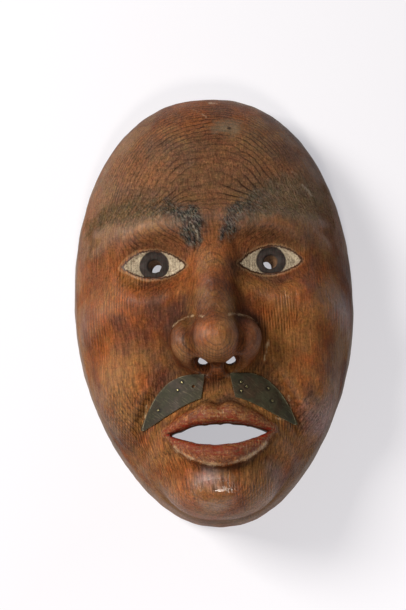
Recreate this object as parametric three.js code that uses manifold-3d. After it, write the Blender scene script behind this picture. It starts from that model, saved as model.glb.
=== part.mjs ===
// A carved wooden face mask with a moustache of two sheet-copper plates, fixed by small pins.
// The mask is one piece of wood, hollowed at the back and pierced at the pupils, nostrils and mouth.
// It lies face up on its flat back rim. Millimetres: +X to the viewer's right, +Y to the forehead, +Z up.
import * as THREE from 'three';
import { ParametricGeometry } from 'three/addons/geometries/ParametricGeometry.js';
import { mergeGeometries, mergeVertices } from 'three/addons/utils/BufferGeometryUtils.js';
import Module from 'manifold-3d';

const wasm = await Module();
wasm.setup();

// Driving dimensions
const maskHeight = 260; // forehead edge to chin edge
const maskWidth = 168; // across the cheeks, at the rim
const domeDepth = 78; // rim to the front of the plain dome, before any feature is added
const faceThird = 81; // hairline to brow, brow to nose base, and nose base to chin
const sideWall = 9.5; // wood beside the hollow
const endWall = 10; // wood above and below the hollow
const frontWall = 12; // wood in front of the hollow
const jawNarrowing = 0.24; // share of the width lost at the chin
const crownNarrowing = 0.05; // share of the width lost at the top of the forehead

// Places of the features: five eye widths across the face, and equal thirds down it
const noseBaseY = -43;
const browY = noseBaseY + faceThird;
const chinY = noseBaseY - faceThird;
const eyeX = maskWidth / 5;
const eyeY = browY - 22;
const mouthY = -83;

const eyeOpening = { halfWidth: 18, rise: 9, drop: 6.6, tilt: 0.06 };
const eyeBall = { at: [eyeX, eyeY, 48], radii: [23, 18, 21], yaw: 12, lid: 2 };
const pupil = { radius: 4.2, lift: 0.8, taper: 0.165, outer: -6, inner: 16 };
const pupilSlants = { left: [0.2, -0.25], right: [-0.42, -0.34] }; // across and up for each mm inwards
const noseWing = { at: [15, noseBaseY + 10.5, 80], radii: [9, 11.5, 16], roll: -14, yaw: 22 };
const nostril = { at: [8.5, noseBaseY - 1.5, 85], radii: [4.6, 6.5, 8], yaw: 16 };
const nostrilPassage = { from: [7.5, noseBaseY - 3, 88], to: [9, noseBaseY + 16, 50], radius: 3.2 };
const mouth = { halfWidth: 28, rise: 6, smile: 0.0016, upperLip: 6.6, lowerLip: 7.4 };
const plate = { thickness: 0.9, gap: 0.65 };
const pin = { headRadius: 0.95, headHeight: 0.6, shankRadius: 0.5, shankLength: 6, clearance: 0.35, sides: 8 };

// Where the pins go: shares of a plate's length out from the nose, and of its height up from the lip
const pinPlaces = {
  left: [[0.3, 0.8], [0.37, 0.6], [0.7, 0.42]],
  right: [[0.13, 0.66], [0.21, 0.5], [0.12, 0.3], [0.52, 0.74], [0.6, 0.42]],
};
const openHole = { hand: 'left', out: 0.14, up: 0.55, depth: 4 };

// How many strips each surface is divided into, across and along
const faceGrid = [42, 58];
const hollowGrid = [16, 20];
const plateGrid = [12, 4];

// Solid forms are fields: negative inside the form, and growing by about 1 for each millimetre outwards.
function join(a, b, blend) {
  const overlap = Math.max(blend - Math.abs(a - b), 0) / blend;
  return Math.min(a, b) - overlap * overlap * blend * 0.25;
}

function carve(a, b, blend) {
  return -join(-a, b, blend);
}

function turned(a, b, degrees) {
  const angle = THREE.MathUtils.degToRad(degrees);
  return [Math.cos(angle) * a + Math.sin(angle) * b, Math.cos(angle) * b - Math.sin(angle) * a];
}

// An ellipsoid, yawed towards the side of the head and then rolled in the plane of the face
function egg([x, y, z], at, [radiusX, radiusY, radiusZ], roll = 0, yaw = 0) {
  const [across, out] = turned(x - at[0], z - at[2], -yaw);
  const [side, up] = turned(across, y - at[1], roll);
  const reach = Math.hypot(side / radiusX, up / radiusY, out / radiusZ);
  const slope = Math.hypot(side / radiusX ** 2, up / radiusY ** 2, out / radiusZ ** 2);
  return (reach * (reach - 1)) / Math.max(slope, 1e-9);
}

// A round bar that thickens or thins evenly from one end to the other, and may be wider across X
function bar(point, from, to, fromRadius, toRadius, wide = 1) {
  const along = to.map((value, i) => value - from[i]);
  const offset = point.map((value, i) => value - from[i]);
  const dot = (a, b) => a[0] * b[0] + a[1] * b[1] + a[2] * b[2];
  const share = THREE.MathUtils.clamp(dot(along, offset) / dot(along, along), 0, 1);
  const [dx, dy, dz] = offset.map((value, i) => value - share * along[i]);
  return Math.hypot(dx / wide, dy, dz) - THREE.MathUtils.lerp(fromRadius, toRadius, share);
}

// An egg-shaped dome that is a little square in section and narrows to the jaw and the crown
function dome([x, y, z], radii, squareness) {
  const down = THREE.MathUtils.clamp((-2 * y) / maskHeight, 0, 1.2);
  const up = THREE.MathUtils.clamp((2 * y) / maskHeight, 0, 1.2);
  const narrow = 1 - jawNarrowing * down ** 1.6 - crownNarrowing * up ** 2;
  const shares = [x / narrow, y, z].map((value, i) => Math.max(Math.abs(value) / radii[i], 1e-6));
  const reach = shares.reduce((sum, share) => sum + share ** squareness, 0) ** (1 / squareness);
  const slope = Math.hypot(...shares.map((share, i) => share ** (squareness - 1) / radii[i]));
  return (reach - 1) / Math.max(slope * reach ** (1 - squareness), 1e-6);
}

// The mouth's half opening and the rise of its line, at a distance from the centre line
function mouthLine(x) {
  const opening = mouth.rise * Math.max(1 - (x / mouth.halfWidth) ** 2, 0);
  return { opening, y: mouthY + mouth.smile * x * x };
}

// A lip is a round roll that follows the mouth's edge and thins to the corner.
function lip([x, y, z], isUpper) {
  const reach = isUpper ? 33 : 31;
  const bow = 1 + 0.1 * Math.exp(-(((x - 7.5) / 4.5) ** 2)) - 0.08 * Math.exp(-((x / 3) ** 2));
  const thinning = Math.max(1 - (x / reach) ** 2, 0) ** 0.55;
  const radius = (isUpper ? mouth.upperLip * bow : mouth.lowerLip) * thinning;
  const line = mouthLine(x);
  const lineY = line.y + (isUpper ? 1 : -1) * (line.opening + 0.72 * radius);
  const lineZ = isUpper ? 79.5 - 0.0085 * x * x : 78 - 0.009 * x * x;
  const distance = Math.hypot(y - lineY, z - lineZ) - radius;
  return x < reach ? 0.85 * distance : distance + x - reach + 5;
}

// The outside of the mask, with the eyelids and the lips still closed
function faceField(x, y, z) {
  const p = [Math.abs(x), y, z];
  const eased = [Math.hypot(x, 3), y, z];
  let form = dome(p, [maskWidth / 2, maskHeight / 2, domeDepth], 2.3);

  // Brow ridges, cheek bones and eye sockets
  form = join(form, egg(eased, [27, browY + 1, 62], [33, 9.5, 14], -5, 20), 14);
  form = join(form, egg(p, [46, -9, 43], [26, 17, 26], -20, 26), 18);
  form = carve(form, egg(p, [eyeX + 1.5, eyeY + 1, 86], [26, 16.5, 20], -4, 14), 9);

  // Muzzle, chin, cheeks and the fold from the nose to the corner of the mouth
  form = join(form, egg(p, [0, mouthY + 2, 44], [44, 36, 37]), 16);
  form = join(form, egg(p, [0, chinY + 12, 52], [27, 15, 25]), 18);
  form = join(form, egg(p, [44, -46, 40], [22, 33, 28], 8, 24), 16);
  form = carve(form, bar(p, [22, noseBaseY + 8, 83], [49, mouthY + 2, 61], 3, 2), 6);

  // Nose: body, bridge, tip and wings
  form = join(form, bar(p, [0, browY - 12, 60], [0, noseBaseY + 12, 77], 9, 18, 1.1), 10);
  form = join(form, bar(p, [0, browY - 4, 66], [0, noseBaseY + 14, 93.5], 7.5, 10.5), 9);
  form = join(form, egg(p, [0, noseBaseY + 11.5, 91], [13, 11.5, 14]), 7);

  const slimWing = noseWing.radii.map((radius) => radius - 1);
  form = join(form, egg(p, noseWing.at, slimWing, noseWing.roll, noseWing.yaw), 4.5);

  // Lips with the gap between them filled, and the groove from the nose to the upper lip
  form = join(form, lip(p, true), 2.2);
  form = join(form, lip(p, false), 2.2);
  form = join(form, egg(p, [0, mouthY + 0.6, 69.5], [mouth.halfWidth, 9, 9.5]), 3);
  form = carve(form, bar(p, [0, noseBaseY - 4, 88], [0, noseBaseY - 17, 88.5], 3.5, 5), 4);

  // Closed lids over the eyes
  const { at, radii, yaw, lid } = eyeBall;
  return join(form, egg(p, at, radii.map((radius) => radius + lid), 0, yaw), 3);
}

// The hollow for the wearer's face, with pockets behind the nose and the mouth
function hollowField(x, y, z) {
  const p = [Math.abs(x), y, z];
  const radii = [maskWidth / 2 - sideWall, maskHeight / 2 - endWall, domeDepth - frontWall];
  const pocketed = join(dome(p, radii, 2.2), egg(p, [0, mouthY, 38], [33, 24, 34]), 14);
  return join(pocketed, bar(p, [0, 12, 46], [0, noseBaseY + 10, 62], 12, 17), 14);
}

// The outermost point of a form on a ray, found by coming in from far out and then by halving
function outermost(field, from, along, far) {
  const place = (t) => from.map((value, i) => value + t * along[i]);
  const isOutside = (t) => field(...place(t)) > 0;
  const stride = far / 80;
  let inside = far;
  while (inside > 0 && isOutside(inside)) inside -= stride;
  let outside = inside + stride;
  for (let i = 0; i < 16; i++) {
    const middle = (inside + outside) / 2;
    if (isOutside(middle)) outside = middle;
    else inside = middle;
  }
  return new THREE.Vector3(...place(inside));
}

// Grid lines from -1 to 1, closer together round each place in the list
function gridLines(count, places) {
  const samples = 400;
  const totals = [0];
  for (let i = 0; i < samples; i++) {
    const t = (2 * (i + 0.5)) / samples - 1;
    const crowding = places.map(({ at, spread, gain }) => gain * Math.exp(-(((t - at) / spread) ** 2)));
    totals.push(totals[i] + 1 + crowding.reduce((sum, value) => sum + value, 0));
  }
  return Array.from({ length: count + 1 }, (_, line) => {
    const wanted = (totals[samples] * line) / count;
    const above = Math.max(totals.findIndex((total) => total >= wanted - 1e-9), 1);
    const share = (wanted - totals[above - 1]) / (totals[above] - totals[above - 1]);
    return (2 * (above - 1 + share)) / samples - 1;
  });
}

// The place on a grid's edge at a share of the way round it, anticlockwise
function edgePlace(share, [columns, rows]) {
  const step = Math.round(share * 2 * (columns + rows)) % (2 * (columns + rows));
  if (step < columns) return [step, 0];
  if (step < columns + rows) return [columns, step - columns];
  if (step < 2 * columns + rows) return [2 * columns + rows - step, rows];
  return [0, 2 * (columns + rows) - step];
}

// Sheets that meet along their edges become one closed shape, without the empty triangles at points.
function sewn(sheets) {
  const joined = mergeGeometries(sheets);
  joined.deleteAttribute('normal');
  joined.deleteAttribute('uv');
  const welded = mergeVertices(joined, 1e-3);
  const corners = Array.from(welded.index.array);
  const kept = [];
  for (let i = 0; i < corners.length; i += 3) {
    const triangle = corners.slice(i, i + 3);
    if (new Set(triangle).size === 3) kept.push(...triangle);
  }
  welded.setIndex(kept);
  return welded;
}

// The left half's squares are split the other way, so that the two halves mirror each other.
function evenSheet(shape, [columns, rows]) {
  const sheet = new ParametricGeometry(shape, columns, rows);
  const corners = [];
  for (let row = 0; row < rows; row++) {
    for (let column = 0; column < columns; column++) {
      const a = row * (columns + 1) + column;
      const [b, c, d] = [a + 1, a + columns + 2, a + columns + 1];
      if (column < columns / 2) corners.push(a, b, c, a, c, d);
      else corners.push(a, b, d, b, c, d);
    }
  }
  sheet.setIndex(corners);
  return sheet;
}

// A square sheet is stretched over a domed form, so that its four sides lie in the level rim at z = 0.
function domed(field, grid, places) {
  const columns = gridLines(grid[0], places.across);
  const rows = gridLines(grid[1], places.along);
  const points = rows.map((row) => columns.map((column) => {
    const a = column * Math.sqrt(1 - row ** 2 / 2);
    const b = row * Math.sqrt(1 - column ** 2 / 2);
    const reach = Math.min(Math.hypot(a, b), 1);
    const swell = reach > 0 ? Math.sin((reach * Math.PI) / 2) / reach : Math.PI / 2;
    const height = reach > 1 - 1e-9 ? 0 : domeDepth * Math.cos((reach * Math.PI) / 2);
    const [x, y] = [(maskWidth / 2) * a * swell, (maskHeight / 2) * b * swell];
    const from = [0, y * 0.6, 25 * (1 - reach ** 2)];
    return outermost(field, from, [x, y * 0.4, height - from[2]], 1.9);
  }));
  const front = (u, v, target) => {
    target.copy(points[Math.round(v * grid[1])][Math.round(u * grid[0])]);
  };
  const back = (u, v, target) => {
    const [column, row] = edgePlace(u, grid);
    target.copy(points[row][column]).multiplyScalar(v);
  };
  const edgeCount = 2 * (grid[0] + grid[1]);
  return sewn([evenSheet(front, grid), new ParametricGeometry(back, edgeCount, 1)]);
}

// Solids for joining and cutting
function solid(geometry) {
  const bare = geometry.clone();
  for (const name of Object.keys(bare.attributes)) if (name !== 'position') bare.deleteAttribute(name);
  const merged = mergeVertices(bare, 1e-4);
  const vertProperties = new Float32Array(merged.attributes.position.array);
  const triVerts = new Uint32Array(merged.index.array);
  return new wasm.Manifold(new wasm.Mesh({ numProp: 3, vertProperties, triVerts }));
}

function geometryOf(body) {
  const { vertProperties, triVerts } = body.getMesh();
  const geometry = new THREE.BufferGeometry();
  geometry.setAttribute('position', new THREE.BufferAttribute(vertProperties, 3));
  geometry.setIndex(new THREE.BufferAttribute(triVerts, 1));
  geometry.computeVertexNormals();
  return geometry;
}

const yAxis = new THREE.Vector3(0, 1, 0);

// A round drill from one point to another, which may start with another radius
function drill(from, to, radius, sides, startRadius = radius) {
  const way = to.clone().sub(from);
  const geometry = new THREE.CylinderGeometry(radius, startRadius, way.length(), sides);
  geometry.translate(0, way.length() / 2, 0);
  geometry.applyQuaternion(new THREE.Quaternion().setFromUnitVectors(yAxis, way.normalize()));
  return solid(geometry.translate(from.x, from.y, from.z));
}

// An ellipsoid as a solid, turned as egg() turns it. Side is 1 for the viewer's right, -1 for the left.
function ellipsoid({ at, radii, roll = 0, yaw = 0 }, side, segments) {
  const geometry = new THREE.SphereGeometry(1, ...segments).scale(...radii);
  geometry.rotateZ(side * THREE.MathUtils.degToRad(roll)).rotateY(side * THREE.MathUtils.degToRad(yaw));
  return solid(geometry.translate(side * at[0], at[1], at[2]));
}

// A straight cutter between two height lines of x, from halfWidth to the left to halfWidth to the right
function slotCutter(halfWidth, upperLine, lowerLine, samples, depth) {
  const outline = new THREE.Shape();
  for (let i = 0; i < 2 * samples; i++) {
    const isUpper = i < samples;
    const x = halfWidth * (isUpper ? (2 * i) / samples - 1 : 3 - (2 * i) / samples);
    const y = isUpper ? upperLine(x) : lowerLine(x);
    if (i === 0) outline.moveTo(x, y);
    else outline.lineTo(x, y);
  }
  return new THREE.ExtrudeGeometry(outline, { depth, bevelEnabled: false });
}

function mouthCutter() {
  const upper = (x) => mouthLine(x).y + mouthLine(x).opening;
  const lower = (x) => mouthLine(x).y - mouthLine(x).opening;
  return solid(slotCutter(mouth.halfWidth, upper, lower, 12, 60).translate(0, 0, 40));
}

// The opening between the lids: it takes the lids away and leaves the ball of the eye
function eyeCutter(side) {
  const { halfWidth, rise, drop, tilt } = eyeOpening;
  const arc = (x, height) => {
    const radius = (halfWidth ** 2 + height ** 2) / (2 * height);
    return Math.sqrt(radius ** 2 - x ** 2) - radius + height;
  };
  const upper = (x) => side * tilt * x + arc(x, rise);
  const lower = (x) => side * tilt * x - arc(x, drop);
  const slot = slotCutter(halfWidth, upper, lower, 10, 20).translate(0, 0, 14);
  slot.rotateY(side * THREE.MathUtils.degToRad(eyeBall.yaw));
  slot.translate(side * eyeBall.at[0], eyeBall.at[1], eyeBall.at[2]);
  return solid(slot).subtract(ellipsoid(eyeBall, side, [18, 12]));
}

// A pupil is bored by hand from the front: each bore has a slant of its own and narrows to the hollow
function pupilCutter(side) {
  const [across, up] = pupilSlants[side < 0 ? 'left' : 'right'];
  const front = eyeBall.at[2] + eyeBall.radii[2];
  const at = (depth) => new THREE.Vector3(side * eyeX + across * depth, eyeY + pupil.lift + up * depth, front - depth);
  const radiusAt = (depth) => pupil.radius - pupil.taper * depth;
  return drill(at(pupil.inner), at(pupil.outer), radiusAt(pupil.outer), 14, radiusAt(pupil.inner));
}

// Outline of a moustache plate on the viewer's right: from beside the groove under the nose,
// between the nose and the upper lip, to a point outside the corner of the mouth
const topEdge = new THREE.CubicBezierCurve(
  new THREE.Vector2(7, noseBaseY - 6),
  new THREE.Vector2(22, noseBaseY - 2.5),
  new THREE.Vector2(36, noseBaseY - 10),
  new THREE.Vector2(44, mouthY + 6),
);
const lowEdge = new THREE.CubicBezierCurve(
  new THREE.Vector2(9.5, mouthY + 20.5),
  new THREE.Vector2(20, mouthY + 17.8),
  new THREE.Vector2(31, mouthY + 10),
  new THREE.Vector2(42.7, mouthY + 5.3),
);

// A place on a plate, at shares of its length and height, and the way out of the wood there
function placeOnPlate(hand, out, up) {
  const spot = lowEdge.getPoint(out).lerp(topEdge.getPoint(out), up);
  const x = hand === 'left' ? -spot.x : spot.x;
  const wood = outermost(faceField, [x, spot.y, 40], [0, 0, 1], 60);
  const slopeAlong = (dx, dy, dz) =>
    faceField(wood.x + dx, wood.y + dy, wood.z + dz) - faceField(wood.x - dx, wood.y - dy, wood.z - dz);
  const normal = new THREE.Vector3(slopeAlong(1, 0, 0), slopeAlong(0, 1, 0), slopeAlong(0, 0, 1)).normalize();
  return { normal, lifted: (height) => wood.clone().addScaledVector(normal, height) };
}

// The drilled hole that a pin goes through, which starts above the plate and ends in the wood
function pinHole(hand, out, up, depth, radius) {
  const place = placeOnPlate(hand, out, up);
  return drill(place.lifted(-depth), place.lifted(plate.gap + plate.thickness + 2), radius, pin.sides);
}

// Sheet metal that follows the wood at an even gap, with square-cut edges
function plateBody(hand, holes) {
  const [columns, rows] = plateGrid;
  const heights = { under: plate.gap, over: plate.gap + plate.thickness };
  const at = (column, row, height, target) => {
    const out = hand === 'left' ? 1 - column / columns : column / columns;
    target.copy(placeOnPlate(hand, out, row / rows).lifted(height));
  };
  const over = (u, v, target) => at(u * columns, v * rows, heights.over, target);
  const under = (u, v, target) => at((1 - u) * columns, v * rows, heights.under, target);
  const edge = (u, v, target) => {
    at(...edgePlace(u, plateGrid), THREE.MathUtils.lerp(heights.under, heights.over, v), target);
  };
  const edgeCount = 2 * (columns + rows);
  const sheets = [
    new ParametricGeometry(over, columns, rows),
    new ParametricGeometry(under, columns, rows),
    new ParametricGeometry(edge, edgeCount, 1),
  ];
  return holes.reduce((body, hole) => body.subtract(hole), solid(sewn(sheets)));
}

// A domed pin with a pointed shank
function pinGeometry() {
  const { headRadius, headHeight, shankRadius, shankLength, sides } = pin;
  const profile = [
    [0, -shankLength],
    [shankRadius, -shankLength + 2 * shankRadius],
    [shankRadius, 0],
    [headRadius, 0],
    [0.75 * headRadius, 0.7 * headHeight],
    [0, headHeight],
  ];
  return new THREE.LatheGeometry(profile.map(([radius, y]) => new THREE.Vector2(radius, y)), sides);
}

const wood = new THREE.MeshStandardMaterial({ color: '#84563a', roughness: 0.6, metalness: 0 });
const sheetCopper = new THREE.MeshStandardMaterial({ color: '#4a4638', roughness: 0.55, metalness: 0.6 });
const pinMetal = new THREE.MeshStandardMaterial({ color: '#8a8577', roughness: 0.4, metalness: 0.8 });

function named(name, geometry, material) {
  const mesh = new THREE.Mesh(geometry, material);
  mesh.name = name;
  return mesh;
}

const holeRadius = pin.shankRadius + pin.clearance;
const holeDepth = pin.shankLength + pin.clearance;
const holesOf = (hand) => pinPlaces[hand].map(([out, up]) => pinHole(hand, out, up, holeDepth, holeRadius));
const holes = { left: holesOf('left'), right: holesOf('right') };
holes[openHole.hand].push(pinHole(openHole.hand, openHole.out, openHole.up, openHole.depth, holeRadius));

// The carved mask: the face less its hollow, mouth, pupils, nostrils and pin holes
function carvedMask() {
  const features = {
    across: [{ at: 0, spread: 0.42, gain: 1.4 }],
    along: [
      { at: -0.42, spread: 0.12, gain: 1.7 },
      { at: -0.2, spread: 0.1, gain: 1.3 },
      { at: 0.08, spread: 0.11, gain: 1.2 },
    ],
  };
  let face = solid(domed(faceField, faceGrid, features));
  const hollow = solid(domed(hollowField, hollowGrid, { across: [], along: [] }).translate(0, 0, -0.5));
  const cutters = [hollow, mouthCutter(), ...holes.left, ...holes.right];
  for (const side of [-1, 1]) {
    const beside = ([x, y, z]) => new THREE.Vector3(side * x, y, z);
    face = face.add(ellipsoid(noseWing, side, [16, 10]));
    cutters.push(
      eyeCutter(side),
      pupilCutter(side),
      ellipsoid(nostril, side, [10, 8]),
      drill(beside(nostrilPassage.from), beside(nostrilPassage.to), nostrilPassage.radius, 8),
    );
  }
  return named('carved_mask', geometryOf(cutters.reduce((body, cutter) => body.subtract(cutter), face)), wood);
}

function moustache(hand) {
  const group = new THREE.Group();
  group.add(named(`moustache_plate_${hand}`, geometryOf(plateBody(hand, holes[hand])), sheetCopper));
  pinPlaces[hand].forEach(([out, up], i) => {
    const place = placeOnPlate(hand, out, up);
    const mesh = named(`plate_pin_${hand}_${i + 1}`, pinGeometry(), pinMetal);
    mesh.position.copy(place.lifted(plate.gap + plate.thickness + pin.clearance));
    mesh.quaternion.setFromUnitVectors(yAxis, place.normal);
    group.add(mesh);
  });
  return group;
}

const mask = new THREE.Group();
mask.add(carvedMask(), moustache('left'), moustache('right'));

export default mask;
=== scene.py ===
import math
from functools import partial

import bpy
import numpy as np
import openvdb
from mathutils import Matrix, Quaternion, Vector


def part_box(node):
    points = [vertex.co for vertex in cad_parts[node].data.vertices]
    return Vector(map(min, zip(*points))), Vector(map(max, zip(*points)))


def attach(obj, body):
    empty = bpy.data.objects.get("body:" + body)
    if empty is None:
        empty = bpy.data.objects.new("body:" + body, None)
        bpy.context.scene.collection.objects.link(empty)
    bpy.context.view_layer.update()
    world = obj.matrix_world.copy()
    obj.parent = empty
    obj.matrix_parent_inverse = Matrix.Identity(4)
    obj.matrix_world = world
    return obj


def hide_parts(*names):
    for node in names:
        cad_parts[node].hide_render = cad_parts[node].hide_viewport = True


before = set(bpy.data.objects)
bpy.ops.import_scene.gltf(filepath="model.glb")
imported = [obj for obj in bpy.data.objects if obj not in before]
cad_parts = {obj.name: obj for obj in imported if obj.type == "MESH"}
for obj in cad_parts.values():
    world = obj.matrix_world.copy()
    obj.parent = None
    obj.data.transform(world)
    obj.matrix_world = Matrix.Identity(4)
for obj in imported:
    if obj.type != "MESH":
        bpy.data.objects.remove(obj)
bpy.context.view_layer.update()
bpy.ops.object.select_all(action="DESELECT")
millimetre = 0.001


def nodeBox(name):
    low, high = (np.array(corner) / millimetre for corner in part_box(name))
    return low, high


maskLow, maskHigh = nodeBox("carved_mask")
face = {
    "width": round(maskHigh[0] - maskLow[0]),
    "height": round(maskHigh[1] - maskLow[1]),
    "dome": 78,             # rim to the front of the plain dome
    "third": 81,            # hairline to brow, brow to nose base, nose base to chin
    "noseBase": -43,
    "mouth": -83,
    "walls": (9.5, 10, 12),  # wood beside the hollow, above and below it, and in front of it
    "step": 1.1,            # size of the cells that the surface is drawn from
    "triangles": 192000,
    "rimRound": 2.5,
}
face["radii"] = (face["width"] / 2, face["height"] / 2, face["dome"])
face["brow"] = face["noseBase"] + face["third"]
face["chin"] = face["noseBase"] - face["third"]
eye = {
    "x": face["width"] / 5, "y": face["brow"] - 22, "z": 48,
    "radii": (23, 18, 21), "lid": 2, "yaw": 12,
    "halfWidth": 18, "rise": 9, "drop": 6.6, "tilt": 0.06,
    "pupil": 4.2, "pupilLift": 0.8, "iris": 8.6,
    "taper": 0.165, "slants": {-1: (0.2, -0.25), 1: (-0.42, -0.34)},     # across and up for each mm inwards
    "bore": (-6, 16),       # how far inwards a pupil is bored, from before the ball to the hollow
}
mouth = {"halfWidth": 28, "rise": 6, "smile": 0.0016, "upperLip": 6.6, "lowerLip": 7.4}


# Solid forms: each function is negative inside its form and grows by about 1 for each millimetre outwards.
def join(a, b, blend):
    overlap = np.maximum(blend - np.abs(a - b), 0) / blend
    return np.minimum(a, b) - overlap * overlap * blend * 0.25


def carve(a, b, blend):
    return -join(-a, b, blend)


def turned(a, b, degrees):
    c, s = math.cos(math.radians(degrees)), math.sin(math.radians(degrees))
    return c * a + s * b, c * b - s * a


def egg(x, y, z, at, radii, roll=0, yaw=0):
    across, out = turned(x - at[0], z - at[2], -yaw)
    side, up = turned(across, y - at[1], roll)
    reach = np.sqrt((side / radii[0]) ** 2 + (up / radii[1]) ** 2 + (out / radii[2]) ** 2)
    slope = np.sqrt((side / radii[0] ** 2) ** 2 + (up / radii[1] ** 2) ** 2 + (out / radii[2] ** 2) ** 2)
    return reach * (reach - 1) / np.maximum(slope, 1e-6)


def bar(x, y, z, start, end, startRadius, endRadius, wide=1.0):
    way = [e - s for s, e in zip(start, end)]
    dx, dy, dz = x - start[0], y - start[1], z - start[2]
    share = np.clip((dx * way[0] + dy * way[1] + dz * way[2]) / sum(w * w for w in way), 0, 1)
    aside = ((dx - share * way[0]) / wide, dy - share * way[1], dz - share * way[2])
    reach = np.sqrt(aside[0] ** 2 + aside[1] ** 2 + aside[2] ** 2)
    return reach - startRadius - share * (endRadius - startRadius)


def dome(x, y, z, radii, squareness):
    down = np.clip(-2 * y / face["height"], 0, 1.2)
    up = np.clip(2 * y / face["height"], 0, 1.2)
    narrow = 1 - 0.24 * down ** 1.6 - 0.05 * up ** 2     # to the jaw, and a little to the crown
    shares = [np.maximum(np.abs(part) / radius, 1e-6) for part, radius in zip((x / narrow, y, z), radii)]
    reach = sum(share ** squareness for share in shares) ** (1 / squareness)
    slope = np.sqrt(sum((share ** (squareness - 1) / radius) ** 2 for share, radius in zip(shares, radii)))
    return (reach - 1) / np.maximum(slope * reach ** (1 - squareness), 1e-6)


def almond(x, y, halfWidth, rise, drop):
    upper = (halfWidth ** 2 + rise ** 2) / (2 * rise)
    lower = (halfWidth ** 2 + drop ** 2) / (2 * drop)
    return np.maximum(np.hypot(x, y + upper - rise) - upper, np.hypot(x, y - lower + drop) - lower)


def eyeOpening(x, y):
    side = np.abs(x) - eye["x"]
    return almond(side, y - eye["y"] - eye["tilt"] * side, eye["halfWidth"], eye["rise"], eye["drop"])


def lip(x, y, z, side):
    reach = 33 if side > 0 else 31
    opening = np.maximum(mouth["rise"] * (1 - (x / mouth["halfWidth"]) ** 2), 0)
    bow = 1 + 0.1 * np.exp(-((x - 7.5) / 4.5) ** 2) - 0.08 * np.exp(-(x / 3) ** 2)
    thinning = np.maximum(1 - (x / reach) ** 2, 0) ** 0.55
    radius = (mouth["upperLip"] * bow if side > 0 else mouth["lowerLip"]) * thinning
    lineY = face["mouth"] + mouth["smile"] * x * x + side * (opening + 0.72 * radius)
    lineZ = 79.5 - 0.0085 * x * x if side > 0 else 78 - 0.009 * x * x
    distance = np.hypot(y - lineY, z - lineZ) - radius
    return np.where(x < reach, 0.85 * distance, distance + x - reach + 5)


def faceForm(x, y, z):
    s = np.abs(x)
    eased = np.hypot(x, 3)
    brow, noseBase, chin, mouthY = face["brow"], face["noseBase"], face["chin"], face["mouth"]
    form = dome(x, y, z, face["radii"], 2.3)
    # brow ridges, cheek bones and eye sockets
    form = join(form, egg(eased, y, z, (27, brow + 1, 62), (33, 9.5, 14), -5, 20), 14)
    form = join(form, egg(s, y, z, (46, -9, 43), (26, 17, 26), -20, 26), 18)
    form = carve(form, egg(s, y, z, (eye["x"] + 1.5, eye["y"] + 1, 86), (26, 16.5, 20), -4, 14), 9)
    # muzzle, chin, cheeks and the fold from the nose to the corner of the mouth
    form = join(form, egg(s, y, z, (0, mouthY + 2, 44), (44, 36, 37)), 16)
    form = join(form, egg(s, y, z, (0, chin + 12, 52), (27, 15, 25)), 18)
    form = join(form, egg(s, y, z, (44, -46, 40), (22, 33, 28), 8, 24), 16)
    form = carve(form, bar(s, y, z, (22, noseBase + 8, 83), (49, mouthY + 2, 61), 3, 2), 6)
    # nose: body, bridge, tip, wings and nostrils
    form = join(form, bar(x, y, z, (0, brow - 12, 60), (0, noseBase + 12, 77), 9, 18, 1.1), 10)
    form = join(form, bar(x, y, z, (0, brow - 4, 66), (0, noseBase + 14, 93.5), 7.5, 10.5), 9)
    form = join(form, egg(s, y, z, (0, noseBase + 11.5, 91), (13, 11.5, 14)), 7)
    form = join(form, egg(s, y, z, (14.5, noseBase + 11.5, 79), (9.5, 13, 16.5), -16, 22), 6)
    form = carve(form, egg(s, y, z, (8.5, noseBase - 1.5, 85), (4.6, 6.5, 8), 0, 16), 2.5)
    # lips, and the groove under the nose
    form = join(form, lip(s, y, z, 1), 2.2)
    form = join(form, lip(s, y, z, -1), 2.2)
    form = carve(form, bar(x, y, z, (0, noseBase - 4, 88), (0, noseBase - 17, 88.5), 3.5, 5), 4)
    # eyes: lids over a ball
    ballAt, ball = (eye["x"], eye["y"], eye["z"]), eye["radii"]
    lids = egg(s, y, z, ballAt, [radius + eye["lid"] for radius in ball], 0, eye["yaw"])
    form = join(form, carve(lids, eyeOpening(x, y), 0.8), 3)
    return join(form, egg(s, y, z, ballAt, ball, 0, eye["yaw"]), 0.8)


def hollowForm(x, y, z):
    s = np.abs(x)
    radii = [radius - wall for radius, wall in zip(face["radii"], face["walls"])]
    form = join(dome(x, y, z, radii, 2.2), egg(s, y, z, (0, face["mouth"], 38), (33, 24, 34)), 14)
    return join(form, bar(x, y, z, (0, 12, 46), (0, face["noseBase"] + 10, 62), 12, 17), 14)


def mouthOpening(x, y):
    up = y - face["mouth"] - mouth["smile"] * x * x
    return almond(x, up, mouth["halfWidth"], mouth["rise"], mouth["rise"])


# The bore of a pupil, from the front and on a slant of its own, narrower towards the hollow
def pupilBore(x, y, z, side):
    across, up = eye["slants"][side]
    front = eye["z"] + eye["radii"][2]
    middle = (side * eye["x"], eye["y"] + eye["pupilLift"])
    ends = [(middle[0] + across * depth, middle[1] + up * depth, front - depth) for depth in eye["bore"]]
    return bar(x, y, z, *ends, *[eye["pupil"] - eye["taper"] * depth for depth in eye["bore"]])


def maskForm(x, y, z):
    s = np.abs(x)
    form = np.maximum(faceForm(x, y, z), -hollowForm(x, y, z))
    form = carve(form, np.maximum(mouthOpening(x, y), 40 - z), 3)
    pupil = np.minimum(pupilBore(x, y, z, -1), pupilBore(x, y, z, 1))
    nostril = bar(s, y, z, (7.5, face["noseBase"] - 3, 88), (9, face["noseBase"] + 16, 50), 3.0, 3.4)
    form = carve(form, np.minimum(pupil, nostril), 0.8)
    return -join(-form, z, face["rimRound"])


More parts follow.
